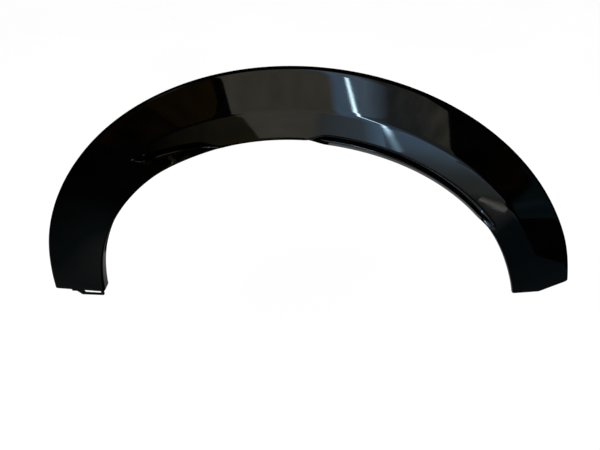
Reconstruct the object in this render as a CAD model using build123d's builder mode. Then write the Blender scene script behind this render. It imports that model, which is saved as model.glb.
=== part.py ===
"""Wheel arch trim: one gloss black moulding that frames a car's wheel opening.

Frame: origin on the wheel axis, in the plane where the outer rim seats on the body.
X runs along the car, Y points into the car and Z points up, so the visible face looks to -Y.
Angles go round the wheel axis from +X (the bumper end) over the top to -X (the sill end).
All sizes are in millimetres.
"""
import os
from math import cos, hypot, radians, sin, tan

from build123d import *

# Face seen from the front, as radii from the wheel axis
outer_radius = 503.9
crease_radius = 448.5
inner_radius = 400.6
bumper_end_inner_drop = 3.8
bumper_end_outer_drop = 2.8
sill_end_inner_drop = 5.4
sill_end_outer_drop = 3.5

# Face seen in section, as distances outboard of the seat plane
wall = 3.0
rim_return = 8.0
flare_projection = 40.0
sill_end_setback = 27.0
sill_end_flange_cut = 3.0
crease_lift = 9.0
flange_depth = 26.0
flange_draft = 1.0
bumper_end_flange_draft = 3.0

# Stepped lip along the inner edge
step_depth = 16.0
groove_lip_depth = 10.0
flange_shift = 10.0
step_draft = 1.5
lip_reach = 8.4
groove_lip_reach = 5.5
groove_reach = 5.5
top_edge_radius = 400.3
groove_edge_radius = 411.0
sill_edge_radius = 418.0
sill_edge_rise = 1.55

# Narrow channel between the flare's edge and the ridge of the lip
ridge_depth = 3.5
channel_depth = 17.0
channel_draft = 1.0
channel_width = 7.0
channel_least = 0.6

# Shares kept where the step, the channel and the crease fade out, so that every section has the same corners
faint_step = 0.01
faint_crease = 0.03

# Angles in degrees where one form of the section runs out into the next
groove_start = 89.0
groove_full = 84.0
groove_taper_start = 80.0
groove_fade_start = 44.0
groove_fade_end = 36.0
channel_fade_end = 36.5
sill_channel_start = 107.5
sill_channel_full = 112.5
sill_channel_fade = 126.0
sill_channel_end = 130.0
sill_step_full = 112.0
sill_step_end = 127.0
crease_sill_full = 106.0
crease_sill_end = 132.0
crease_bumper_full = 50.0
crease_bumper_end = 18.0
sill_drop_start = 126.0
sill_drop_end = 158.0
sill_setback_start = 134.0
sill_setback_end = 176.0
bumper_drop_start = 40.0
bumper_drop_end = 20.0
outer_bumper_start = 26.0
outer_bumper_end = 12.0
outer_sill_start = 158.0
outer_sill_end = 178.0

# Corner blends of the skin as (length, chords), from the flange's lip round to the outer rim.
# Most turn in short chords to keep the mesh light; 0 chords is one smooth curve.
skin_blends = ((5.0, 3), (4.0, 2), (1.2, 1), (1.2, 1), (3.0, 3), (2.0, 0), (3.5, 3))

# Stations of the loft in degrees, evenly spaced so that its surfaces stay fair
first_station = 4
last_station = 184
station_pitch = 3

# Leg ends
bumper_kink_x = 436.0
bumper_kink_height = 98.0
bumper_inner_slope = 6.0
bumper_outer_slope = 16.5
sill_end_height = 19.2
sill_slope = 1.5
end_corner_radius = 6.0
end_clearance = 0.8
end_margin = 40.0

# Clip seats and stiffening ribs behind the face
seat_count = 6
seat_first_angle = 30.0
seat_pitch = 24.0
seat_radius = 458.0
seat_width = 26.0
seat_length = 34.0
seat_wall = 2.2
seat_plate = 2.5
seat_gap = 4.0
seat_hole_radius = 4.0
rib_thickness = 1.8
rib_gap = 14.0

# Slotted fixing tab under the sill end
tab_outer_x = 467.0
tab_step_x = 456.5
tab_low_x = 447.5
tab_inner_x = 401.0
tab_outer_bottom = 3.4
tab_inner_bottom = 4.6
tab_step_height = 12.2
tab_front = 7.0
tab_thickness = 2.5
tab_corner = 4.0
slot_outer_x = 443.5
slot_inner_x = 407.0
slot_top = 16.6
slot_bottom = 9.2
slot_slant = 3.5
slot_corner = 1.5

reach = 80.0


def ease(value, start, end):
    """Rise smoothly from 0 at start to 1 at end; start may be the larger of the two."""
    t = min(max((value - start) / (end - start), 0.0), 1.0)
    return t * t * (3.0 - 2.0 * t)


def inner_edge(angle):
    """Radius of the face's inner edge, which tightens a little down both legs."""
    bumper = bumper_end_inner_drop * ease(angle, bumper_drop_start, bumper_drop_end)
    sill = sill_end_inner_drop * ease(angle, sill_drop_start, sill_drop_end)
    return inner_radius - bumper - sill


def outer_edge(angle):
    """Radius of the outer rim, which pulls in a little at both leg ends."""
    bumper = bumper_end_outer_drop * ease(angle, outer_bumper_start, outer_bumper_end)
    sill = sill_end_outer_drop * ease(angle, outer_sill_start, outer_sill_end)
    return outer_radius - bumper - sill


def face_depth(radius, angle):
    """Y of the face at a radius: two straight bands that meet at the crease."""
    near = inner_edge(angle)
    far = outer_edge(angle)
    projection = flare_projection - sill_end_setback * ease(angle, sill_setback_start, sill_setback_end)
    share = (crease_radius - near) / (far - near)
    fade = ease(angle, crease_bumper_end, crease_bumper_full) * ease(angle, crease_sill_end, crease_sill_full)
    fade = max(fade, faint_crease)
    crease_y = -projection + (projection - rim_return) * share - crease_lift * fade
    if radius < crease_radius:
        return -projection + (crease_y + projection) * (radius - near) / (crease_radius - near)
    run = (radius - crease_radius) / (far - crease_radius)
    return crease_y + (-rim_return - crease_y) * run


def skin_path(angle):
    """Outer skin as (radius, y) points from the flange's rear edge to the rim's rear edge."""
    groove = ease(angle, groove_start, groove_full)
    sill = ease(angle, sill_channel_start, sill_channel_full)
    step = ease(angle, sill_step_end, sill_step_full) * ease(angle, groove_fade_end, groove_fade_start)
    step = max(step, faint_step)
    channel = groove * ease(angle, channel_fade_end, groove_fade_start)
    channel = max(channel + sill * ease(angle, sill_channel_end, sill_channel_fade), faint_step)
    sill_edge = sill_edge_radius + sill_edge_rise * (min(angle, sill_channel_end) - sill_channel_full)
    edge = top_edge_radius
    edge += (groove_edge_radius - top_edge_radius) * groove + (sill_edge - top_edge_radius) * sill
    reach_in = (lip_reach + (groove_lip_reach - lip_reach) * groove) * step
    lip = inner_edge(angle) - reach_in - groove_reach * groove * ease(angle, groove_fade_end, groove_taper_start)
    setback = (step_depth + (groove_lip_depth - step_depth) * groove) * step
    front_y = face_depth(lip, angle)
    rear_y = front_y + flange_depth + flange_shift * step
    rear_y -= sill_end_flange_cut * ease(angle, sill_setback_start, sill_setback_end)
    draft = flange_draft + bumper_end_flange_draft * ease(angle, bumper_drop_start, bumper_drop_end)
    foot = edge - step_draft
    floor = foot - channel_least - (channel_width - channel_least) * channel
    ridge = floor - channel_least - (channel_draft - channel_least) * channel
    floor_setback = setback + (channel_depth - setback) * channel
    ridge_setback = setback + (ridge_depth - setback) * channel
    far = outer_edge(angle)
    return [
        (lip + draft, rear_y),
        (lip, front_y + setback),
        (ridge, face_depth(ridge, angle) + ridge_setback),
        (floor, face_depth(floor, angle) + floor_setback),
        (foot, face_depth(foot, angle) + floor_setback),
        (edge, face_depth(edge, angle)),
        (crease_radius, face_depth(crease_radius, angle)),
        (far, -rim_return),
        (far, 0.0),
    ]


def inset_path(path, distance):
    """Move a path into the material by a distance, with mitred corners."""
    normals = []
    for (ax, ay), (bx, by) in zip(path, path[1:]):
        length = hypot(bx - ax, by - ay)
        normals.append(((ay - by) / length, (bx - ax) / length))
    pairs = zip([normals[0]] + normals, normals + [normals[-1]])
    moved = []
    for (x, y), ((mx, my), (nx, ny)) in zip(path, pairs):
        scale = distance / (1.0 + mx * nx + my * ny)
        moved.append((x + (mx + nx) * scale, y + (my + ny) * scale))
    return moved


def toward(start, end, distance):
    """Point at a distance from start on the way to end."""
    share = distance / hypot(end[0] - start[0], end[1] - start[1])
    return (start[0] + (end[0] - start[0]) * share, start[1] + (end[1] - start[1]) * share)


def draw_path(path, blends):
    """Draw a path in the current line builder, with each inner corner blended."""
    here = path[0]
    for before, corner, after, (length, chords) in zip(path, path[1:], path[2:], blends):
        shortest = min(hypot(corner[0] - p[0], corner[1] - p[1]) for p in (before, after))
        size = min(length, 0.4 * shortest)
        entry = toward(corner, before, size)
        leave = toward(corner, after, size)
        Line(here, entry)
        here = entry
        for k in range(chords):
            t = (k + 1) / chords
            a, b, c = (1 - t) ** 2, 2 * t * (1 - t), t ** 2
            there = (a * entry[0] + b * corner[0] + c * leave[0], a * entry[1] + b * corner[1] + c * leave[1])
            Line(here, there)
            here = there
        if chords == 0:
            Bezier(entry, corner, leave)
            here = leave
    Line(here, path[-1])


def section_plane(angle):
    """Plane through the wheel axis: its x is the radius and its y is the world's Y."""
    c = cos(radians(angle))
    s = sin(radians(angle))
    return Plane(origin=(0, 0, 0), x_dir=(c, 0, s), z_dir=(-s, 0, c))


stations = range(first_station, last_station + 1, station_pitch)

# Thin shell: face, crease, channel, stepped lip, inner flange and outer rim in one loft
with BuildPart() as shell:
    for station in stations:
        skin = skin_path(station)
        back = inset_path(skin, wall)
        with BuildSketch(section_plane(station)):
            with BuildLine():
                draw_path(skin, skin_blends)
                Line(skin[-1], back[-1])
                Polyline(*back[::-1], skin[0])
            make_face()
    loft()

# Space behind the face, from the middle of the wall back to the seat plane and the flange's rear edge
with BuildPart() as hollow:
    for station in stations:
        middle = inset_path(skin_path(station), wall / 2)
        with BuildSketch(section_plane(station)):
            with BuildLine():
                Polyline(*middle, (seat_radius - seat_width, 0.0), close=True)
            make_face()
    loft()

# Outlines of the two leg ends, used to trim the ends with rounded corners
bumper_near_x = inner_radius - end_margin
bumper_far_x = outer_radius + end_margin
bumper_near_z = bumper_kink_height + (bumper_kink_x - bumper_near_x) * tan(radians(bumper_inner_slope))
bumper_far_z = bumper_kink_height + (bumper_far_x - bumper_kink_x) * tan(radians(bumper_outer_slope))
bumper_line = [
    (bumper_near_x, bumper_near_z),
    (bumper_kink_x, bumper_kink_height),
    (bumper_far_x, bumper_far_z),
]
bumper_top = bumper_kink_height + 2 * end_margin
sill_near_x = end_margin - inner_radius
sill_far_x = -end_margin - outer_radius
sill_half_rise = (sill_near_x - sill_far_x) / 2 * tan(radians(sill_slope))
sill_line = [
    (sill_far_x, sill_end_height - sill_half_rise),
    (sill_near_x, sill_end_height + sill_half_rise),
]
sill_top = sill_end_height + 2 * end_margin

with BuildSketch(Plane.XZ) as bumper_leg:
    Circle(outer_radius - bumper_end_outer_drop + end_clearance)
    Circle(inner_radius - bumper_end_inner_drop - end_clearance, mode=Mode.SUBTRACT)
    with BuildLine():
        Polyline(*bumper_line, (bumper_far_x, bumper_top), (bumper_near_x, bumper_top), close=True)
    make_face(mode=Mode.INTERSECT)
    fillet(bumper_leg.vertices().sort_by(Axis.Y)[:3], radius=end_corner_radius)

with BuildSketch(Plane.XZ) as sill_leg:
    Circle(outer_radius - sill_end_outer_drop + end_clearance)
    Circle(inner_radius - sill_end_inner_drop - end_clearance, mode=Mode.SUBTRACT)
    with BuildLine():
        Polyline(*sill_line, (sill_near_x, sill_top), (sill_far_x, sill_top), close=True)
    make_face(mode=Mode.INTERSECT)
    fillet(sill_leg.vertices().sort_by(Axis.Y)[:2], radius=end_corner_radius)

# Slot of the tab, its outer end slanted like the tab's own
with BuildSketch(Plane.XZ) as slot:
    with BuildLine():
        Polyline(
            (-slot_outer_x, slot_top),
            (-slot_outer_x + slot_slant, slot_bottom),
            (-slot_inner_x, slot_bottom),
            (-slot_inner_x, slot_top),
            close=True,
        )
    make_face()
    fillet(slot.vertices(), radius=slot_corner)

# Walls, ribs and clip seats behind the face
with BuildPart() as backing:
    with BuildSketch(Plane.XZ):
        for line in (bumper_line, sill_line):
            with BuildLine():
                Polyline(*line, *[(x, z + wall) for x, z in line[::-1]], close=True)
            make_face()
    extrude(amount=reach, both=True)
    with BuildSketch(Plane.XZ.offset(rib_gap)):
        with PolarLocations(
            (outer_radius + inner_radius) / 2,
            seat_count,
            start_angle=seat_first_angle + seat_pitch / 2,
            angular_range=seat_pitch * (seat_count - 1),
            endpoint=True,
        ):
            Rectangle(outer_radius - inner_radius + end_margin, rib_thickness)
    extrude(amount=reach)
    with BuildSketch(Plane.XZ.offset(seat_gap)):
        with PolarLocations(
            seat_radius,
            seat_count,
            start_angle=seat_first_angle,
            angular_range=seat_pitch * (seat_count - 1),
            endpoint=True,
        ):
            Rectangle(seat_width, seat_length)
            Circle(seat_hole_radius, mode=Mode.SUBTRACT)
    extrude(amount=reach)
    with BuildSketch(Plane.XZ.offset(seat_gap + seat_plate)):
        with PolarLocations(
            seat_radius + seat_wall,
            seat_count,
            start_angle=seat_first_angle,
            angular_range=seat_pitch * (seat_count - 1),
            endpoint=True,
        ):
            Rectangle(seat_width, seat_length - 2 * seat_wall)
    extrude(amount=reach, mode=Mode.SUBTRACT)
    add(hollow.part, mode=Mode.INTERSECT)

# The trim: shell and backing as one moulding, its ends cut to shape, with the tab below the sill end
with BuildPart() as wheel_arch_trim:
    add(shell.part)
    add(backing.part)
    with BuildSketch(Plane.XZ):
        with Locations((bumper_near_x, bumper_top - end_margin)):
            Rectangle(2 * outer_radius, 4 * end_margin + outer_radius, align=(Align.MIN, Align.MAX))
        add(bumper_leg.sketch_local, mode=Mode.SUBTRACT)
        with Locations((sill_near_x, sill_top - end_margin)):
            Rectangle(2 * outer_radius, 4 * end_margin + outer_radius, align=(Align.MAX, Align.MAX))
        add(sill_leg.sketch_local, mode=Mode.SUBTRACT)
    extrude(amount=reach, both=True, mode=Mode.SUBTRACT)
    with BuildSketch(Plane.XZ.offset(tab_front)) as tab:
        with BuildLine():
            Polyline(
                (-tab_outer_x, sill_end_height + wall / 2),
                (-tab_outer_x, tab_step_height),
                (-tab_step_x, tab_step_height),
                (-tab_low_x, tab_outer_bottom),
                (-tab_inner_x, tab_inner_bottom),
                (-tab_inner_x, sill_end_height + wall / 2),
                close=True,
            )
        make_face()
        fillet(tab.vertices().sort_by(Axis.Y)[1], radius=tab_corner)
        add(slot.sketch_local, mode=Mode.SUBTRACT)
    extrude(amount=-tab_thickness)

wheel_arch_trim.part.label = "wheel_arch_trim"

os.makedirs("parts", exist_ok=True)
export_step(wheel_arch_trim.part, "parts/wheel_arch_trim.step")
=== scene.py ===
"""Dresses the wheel arch trim: its gloss black moulding, the studio round it and the camera."""

import logging
import math
from dataclasses import dataclass
from enum import Enum

import bpy
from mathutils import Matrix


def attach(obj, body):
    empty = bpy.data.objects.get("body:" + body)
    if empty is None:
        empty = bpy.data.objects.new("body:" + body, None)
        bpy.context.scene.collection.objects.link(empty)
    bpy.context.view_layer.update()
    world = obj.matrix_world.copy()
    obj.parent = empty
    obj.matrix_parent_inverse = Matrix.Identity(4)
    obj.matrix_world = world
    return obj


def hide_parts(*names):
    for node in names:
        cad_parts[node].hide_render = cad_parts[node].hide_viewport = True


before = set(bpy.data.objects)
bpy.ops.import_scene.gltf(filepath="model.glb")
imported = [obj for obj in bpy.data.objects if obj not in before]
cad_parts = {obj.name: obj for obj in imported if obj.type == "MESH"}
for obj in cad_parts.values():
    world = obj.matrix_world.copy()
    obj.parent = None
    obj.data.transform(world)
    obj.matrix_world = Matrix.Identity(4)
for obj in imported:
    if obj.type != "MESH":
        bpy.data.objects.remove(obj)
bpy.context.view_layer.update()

LOG = logging.getLogger("wheel_arch_trim")
MM = 0.001

TOP_ANGLE = 90.0
SMOOTH_ANGLE = 35.0
MERGE_DISTANCE = 1e-6
LEAST_LENGTH = 1e-9
NOISE_LOW = 0.3
NOISE_HIGH = 0.7

WALL = -4.0
MAT_HEIGHT = -0.360
LAYER = 0.0005

Point = tuple[float, float]
Span = tuple[float, float]
Place = tuple[float, float, float]
Colour = tuple[float, float, float]


class LegEnd(Enum):
    """The two ends of the arch."""

    BUMPER = "bumper"
    SILL = "sill"


class Slot(Enum):
    """Material slots of the moulding."""

    GLOSS = 0
    SATIN = 1


class Fade(Enum):
    """How the glow of a card goes from its start."""

    ACROSS = "across"
    MIDDLE = "middle"


class Cut(Enum):
    """How two objects are combined."""

    UNION = "UNION"
    DIFFERENCE = "DIFFERENCE"
    INTERSECT = "INTERSECT"


def ease(value: float, start: float, end: float) -> float:
    """Go smoothly from 0 at start to 1 at end.

    Args:
        value: Where the value is read.
        start: Value that gives 0.
        end: Value that gives 1. It may be below start.

    Returns:
        The eased share, between 0 and 1.
    """
    share = min(max((value - start) / (end - start), 0.0), 1.0)
    return share * share * (3.0 - 2.0 * share)


def toward(start: Point, end: Point, distance: float) -> Point:
    """Step from one point towards another.

    Args:
        start: Point to leave.
        end: Point to head for.
        distance: Length of the step.

    Returns:
        The point reached.
    """
    share = distance / max(math.dist(start, end), LEAST_LENGTH)
    return (start[0] + (end[0] - start[0]) * share, start[1] + (end[1] - start[1]) * share)


def between(start: Point, end: Point, share: float) -> Point:
    """Point at a share of the way from start to end."""
    return (start[0] + (end[0] - start[0]) * share, start[1] + (end[1] - start[1]) * share)


def rounded(entry: Point, corner: Point, leave: Point, share: float) -> Point:
    """Point on the parabola that rounds a corner.

    Args:
        entry: Where the rounding starts.
        corner: The sharp corner.
        leave: Where the rounding ends.
        share: Share of the way along the rounding.

    Returns:
        The point on the rounding.
    """
    return between(between(entry, corner, share), between(corner, leave, share), share)


def deselect_all() -> None:
    """Leave edit mode and select nothing."""
    if bpy.context.object is not None and bpy.context.object.mode != "OBJECT":
        bpy.ops.object.mode_set(mode="OBJECT")
    bpy.ops.object.select_all(action="DESELECT")


def activate(obj: bpy.types.Object) -> None:
    """Select one object alone and make it the active one.

    Args:
        obj: Object to work on.
    """
    deselect_all()
    obj.select_set(True)
    bpy.context.view_layer.objects.active = obj


def named(name: str) -> bpy.types.Object:
    """Name the object that an operator has just added.

    Args:
        name: Name for the object and its mesh.

    Returns:
        The object.
    """
    obj = bpy.context.object
    obj.name = name
    obj.data.name = name
    return obj


def place_vertices(obj: bpy.types.Object, places: list[Place], first: int = 0) -> None:
    """Put a run of an object's vertices at places given in millimetres.

    Args:
        obj: Object to shape.
        places: One place per vertex.
        first: Index of the first vertex to move.
    """
    for vertex, place in zip(obj.data.vertices[first : first + len(places)], places):
        vertex.co = [value * MM for value in place]
    obj.data.update()


def settle(obj: bpy.types.Object) -> None:
    """Move an object's place and turn into its mesh.

    Args:
        obj: Object to settle at the origin.
    """
    activate(obj)
    bpy.ops.object.transform_apply(location=True, rotation=True, scale=True)


def outward(obj: bpy.types.Object) -> None:
    """Point the faces of a closed mesh outwards.

    Args:
        obj: Object to mend.
    """
    activate(obj)
    bpy.ops.object.mode_set(mode="EDIT")
    bpy.ops.mesh.select_all(action="SELECT")
    bpy.ops.mesh.normals_make_consistent(inside=False)
    bpy.ops.object.mode_set(mode="OBJECT")


def combine(obj: bpy.types.Object, tool: bpy.types.Object, cut: Cut) -> None:
    """Apply a Boolean with another object, and remove that object.

    Args:
        obj: Object that is changed.
        tool: Object that is used up.
        cut: What is kept.
    """
    activate(obj)
    modifier = obj.modifiers.new("combine", "BOOLEAN")
    modifier.operation = cut.value
    modifier.solver = "EXACT"
    modifier.object = tool
    bpy.ops.object.modifier_apply(modifier=modifier.name)
    bpy.data.objects.remove(tool, do_unlink=True)


def mend_pinches(obj: bpy.types.Object) -> None:
    """Divide many-sided faces, merge doubles and collapse tiny edges where a wall touches itself.

    Args:
        obj: Closed object to mend.
    """
    activate(obj)
    bpy.ops.object.mode_set(mode="EDIT")
    bpy.ops.mesh.select_mode(type="FACE")
    bpy.ops.mesh.select_all(action="DESELECT")
    bpy.ops.mesh.select_face_by_sides(number=4, type="GREATER")
    bpy.ops.mesh.quads_convert_to_tris(quad_method="BEAUTY", ngon_method="BEAUTY")
    bpy.ops.mesh.select_mode(type="EDGE")
    bpy.ops.mesh.select_all(action="SELECT")
    bpy.ops.mesh.remove_doubles(threshold=MERGE_DISTANCE)
    bpy.ops.mesh.select_all(action="DESELECT")
    bpy.ops.mesh.select_non_manifold()
    bpy.ops.mesh.merge(type="COLLAPSE")
    bpy.ops.mesh.select_mode(type="VERT")
    bpy.ops.object.mode_set(mode="OBJECT")


def join(objects: list[bpy.types.Object]) -> bpy.types.Object:
    """Join several objects into the first one.

    Args:
        objects: Objects to join.

    Returns:
        The joined object.
    """
    activate(objects[0])
    for obj in objects:
        obj.select_set(True)
    bpy.ops.object.join()
    return objects[0]


@dataclass(frozen=True)
class Section:
    """Section of the trim on a plane through the wheel axis, in millimetres and degrees.

    A section point is a radius and a depth: the depth is 0 where the rim seats on the body
    and negative towards the road side. The angle is 0 towards the bumper and 90 at the top.
    A span holds the angle where a form fades in and the angle where it is full.
    """

    outer_radius: float = 503.9
    crease_radius: float = 448.5
    inner_radius: float = 400.6
    bumper_inner_drop: float = 3.8
    bumper_outer_drop: float = 2.8
    sill_inner_drop: float = 5.4
    sill_outer_drop: float = 3.5
    wall: float = 3.0
    rim_return: float = 8.0
    projection: float = 40.0
    sill_setback: float = 27.0
    sill_flange_cut: float = 3.0
    crease_lift: float = 9.0
    flange_depth: float = 26.0
    flange_draft: float = 1.0
    bumper_flange_draft: float = 3.0
    step_depth: float = 16.0
    groove_lip_depth: float = 10.0
    flange_shift: float = 10.0
    step_draft: float = 1.5
    lip_reach: float = 8.4
    groove_lip_reach: float = 5.5
    groove_reach: float = 5.5
    ridge_depth: float = 3.5
    channel_depth: float = 17.0
    channel_draft: float = 1.0
    channel_width: float = 7.0
    channel_least: float = 0.6
    top_edge_radius: float = 400.3
    groove_edge_radius: float = 411.0
    sill_edge_radius: float = 418.0
    sill_edge_rise: float = 1.55
    seat_plane_radius: float = 432.0
    blends: tuple[float, ...] = (5.0, 5.0, 1.2, 1.2, 0.8, 2.0, 3.5)
    back_blend: float = 0.8
    blend_share: float = 0.4
    runs: tuple[int, ...] = (4, 3, 3, 2, 3, 10, 12, 3)
    chords: int = 6
    bumper_inner_span: Span = (40.0, 20.0)
    sill_inner_span: Span = (126.0, 158.0)
    bumper_outer_span: Span = (26.0, 12.0)
    sill_outer_span: Span = (158.0, 178.0)
    setback_span: Span = (134.0, 176.0)
    bumper_crease_span: Span = (18.0, 50.0)
    sill_crease_span: Span = (132.0, 106.0)
    groove_span: Span = (89.0, 84.0)
    sill_groove_span: Span = (107.5, 112.5)
    bumper_step_span: Span = (37.5, 43.0)
    sill_step_span: Span = (127.0, 112.0)
    bumper_channel_span: Span = (37.8, 43.0)
    sill_channel_span: Span = (129.5, 127.0)
    sill_edge_span: Span = (112.5, 130.0)
    groove_reach_span: Span = (36.0, 80.0)

    def inner_edge(self, angle: float) -> float:
        """Radius of the face's inner edge at an angle."""
        drop = self.bumper_inner_drop * ease(angle, *self.bumper_inner_span)
        return self.inner_radius - drop - self.sill_inner_drop * ease(angle, *self.sill_inner_span)

    def outer_edge(self, angle: float) -> float:
        """Radius of the rim at an angle."""
        drop = self.bumper_outer_drop * ease(angle, *self.bumper_outer_span)
        return self.outer_radius - drop - self.sill_outer_drop * ease(angle, *self.sill_outer_span)

    def face_depth(self, radius: float, angle: float) -> float:
        """Depth of the face.

        Args:
            radius: Distance from the wheel axis.
            angle: Angle round the wheel axis.

        Returns:
            The depth on the two bands, with the crease between them.
        """
        near = self.inner_edge(angle)
        far = self.outer_edge(angle)
        front = self.projection - self.sill_setback * ease(angle, *self.setback_span)
        share = (self.crease_radius - near) / (far - near)
        lift = self.crease_lift * ease(angle, *self.bumper_crease_span)
        lift *= ease(angle, *self.sill_crease_span)
        crease = -front + (front - self.rim_return) * share - lift
        if radius < self.crease_radius:
            return -front + (crease + front) * (radius - near) / (self.crease_radius - near)
        run = (radius - self.crease_radius) / (far - self.crease_radius)
        return crease + (-self.rim_return - crease) * run

    def skin(self, angle: float) -> list[Point]:
        """Corners of the outer skin.

        Args:
            angle: Angle round the wheel axis.

        Returns:
            Corners from the flange's rear edge to the rim's rear edge.
        """
        groove = ease(angle, *self.groove_span)
        sill = ease(angle, *self.sill_groove_span)
        step = ease(angle, *self.sill_step_span) * ease(angle, *self.bumper_step_span)
        channel = groove * ease(angle, *self.bumper_channel_span)
        channel += sill * ease(angle, *self.sill_channel_span)
        rise_from, rise_to = self.sill_edge_span
        sill_edge = self.sill_edge_radius + self.sill_edge_rise * (min(angle, rise_to) - rise_from)
        edge = self.top_edge_radius
        edge += (self.groove_edge_radius - self.top_edge_radius) * groove
        edge += (sill_edge - self.top_edge_radius) * sill
        reach = (self.lip_reach + (self.groove_lip_reach - self.lip_reach) * groove) * step
        lip = self.inner_edge(angle) - reach
        lip -= self.groove_reach * groove * ease(angle, *self.groove_reach_span)
        setback = (self.step_depth + (self.groove_lip_depth - self.step_depth) * groove) * step
        lip_front = self.face_depth(lip, angle)
        rear = lip_front + self.flange_depth + self.flange_shift * step
        rear -= self.sill_flange_cut * ease(angle, *self.setback_span)
        draft = self.flange_draft + self.bumper_flange_draft * ease(angle, *self.bumper_inner_span)
        foot = edge - self.step_draft
        floor = foot - self.channel_least - (self.channel_width - self.channel_least) * channel
        ridge = floor - self.channel_least - (self.channel_draft - self.channel_least) * channel
        floor_depth = setback + (self.channel_depth - setback) * channel
        ridge_depth = setback + (self.ridge_depth - setback) * channel
        far = self.outer_edge(angle)
        return [
            (lip + draft, rear),
            (lip, lip_front + setback),
            (ridge, self.face_depth(ridge, angle) + ridge_depth),
            (floor, self.face_depth(floor, angle) + floor_depth),
            (foot, self.face_depth(foot, angle) + floor_depth),
            (edge, self.face_depth(edge, angle)),
            (self.crease_radius, self.face_depth(self.crease_radius, angle)),
            (far, -self.rim_return),
            (far, 0.0),
        ]

    def inset(self, path: list[Point], distance: float) -> list[Point]:
        """Move a path into the wall with mitred corners.

        Args:
            path: Corners of the outer skin.
            distance: How far to go into the wall.

        Returns:
            The moved corners.
        """
        normals = []
        for (ax, ay), (bx, by) in zip(path, path[1:]):
            length = math.hypot(bx - ax, by - ay)
            normals.append(((ay - by) / length, (bx - ax) / length))
        moved = []
        pairs = zip([normals[0]] + normals, normals + [normals[-1]])
        for (x, y), ((mx, my), (nx, ny)) in zip(path, pairs):
            scale = distance / (1.0 + mx * nx + my * ny)
            moved.append((x + (mx + nx) * scale, y + (my + ny) * scale))
        return moved

    def trace(self, path: list[Point], blends: tuple[float, ...]) -> list[Point]:
        """Round a path's corners and divide it into the columns of the mesh.

        Args:
            path: Corners of the path.
            blends: Length of the rounding at each inner corner.

        Returns:
            The same number of points for every path.
        """
        points = []
        here = path[0]
        for before, corner, after, length, run in zip(path, path[1:], path[2:], blends, self.runs):
            nearest = min(math.dist(corner, before), math.dist(corner, after))
            size = min(length, self.blend_share * nearest)
            entry = toward(corner, before, size)
            leave = toward(corner, after, size)
            points += [between(here, entry, k / run) for k in range(run)]
            points += [rounded(entry, corner, leave, k / self.chords) for k in range(self.chords)]
            here = leave
        last = self.runs[-1]
        points += [between(here, path[-1], k / last) for k in range(last + 1)]
        return points

    def front(self, angle: float) -> list[Point]:
        """Points of the outer skin at an angle, one per column."""
        return self.trace(self.skin(angle), self.blends)

    def back(self, angle: float) -> list[Point]:
        """Points of the hidden side at an angle, one per column."""
        blends = (self.back_blend,) * len(self.blends)
        return self.trace(self.inset(self.skin(angle), self.wall), blends)

    def hollow(self, angle: float) -> list[Point]:
        """Loop round the space behind the face, from the middle of the wall."""
        return [*self.inset(self.skin(angle), self.wall / 2), (self.seat_plane_radius, 0.0)]


@dataclass(frozen=True)
class LegEnds:
    """Outlines of the two leg ends, in millimetres and degrees."""

    section: Section
    kink_x: float = 436.0
    kink_height: float = 98.0
    inner_slope: float = 6.0
    outer_slope: float = 16.5
    sill_height: float = 19.2
    sill_slope: float = 1.5
    corner: float = 6.0
    clearance: float = 0.8
    bumper_guess: float = 14.0
    sill_guess: float = 177.0
    rounds: int = 8

    def height(self, end: LegEnd, radius: float, x: float) -> float:
        """Height of an end's lower edge.

        Args:
            end: Which end.
            radius: Distance from the wheel axis, which the corner roundings follow.
            x: Place along the car.

        Returns:
            The height of the edge above the wheel axis.
        """
        section = self.section
        if end is LegEnd.BUMPER:
            near = section.inner_radius - section.bumper_inner_drop
            far = section.outer_radius - section.bumper_outer_drop
            slope = self.inner_slope if x < self.kink_x else self.outer_slope
            line = self.kink_height + abs(x - self.kink_x) * math.tan(math.radians(slope))
        else:
            near = section.inner_radius - section.sill_inner_drop
            far = section.outer_radius - section.sill_outer_drop
            middle = (section.inner_radius + section.outer_radius) / 2
            line = self.sill_height + (x + middle) * math.tan(math.radians(self.sill_slope))
        inside = min(radius - near, far - radius) + self.clearance
        missing = min(max(self.corner - inside, 0.0), self.corner)
        return line + self.corner - math.sqrt(self.corner**2 - missing**2)

    def guess(self, end: LegEnd) -> float:
        """Angle near an end, from which its exact angle is found."""
        return self.bumper_guess if end is LegEnd.BUMPER else self.sill_guess

    def angle(self, end: LegEnd, radius: float) -> float:
        """Angle at which an arc of a radius meets an end.

        Args:
            end: Which end.
            radius: Radius of the arc.

        Returns:
            The angle round the wheel axis.
        """
        angle = self.guess(end)
        for _ in range(self.rounds):
            height = self.height(end, radius, radius * math.cos(math.radians(angle)))
            low = math.degrees(math.asin(height / radius))
            angle = low if end is LegEnd.BUMPER else 180.0 - low
        return angle


def polar(point: Point, angle: float) -> Place:
    """Place of a section point.

    Args:
        point: Radius and depth.
        angle: Angle round the wheel axis.

    Returns:
        The place in millimetres.
    """
    turn = math.radians(angle)
    return (point[0] * math.cos(turn), point[1], point[0] * math.sin(turn))


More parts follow.
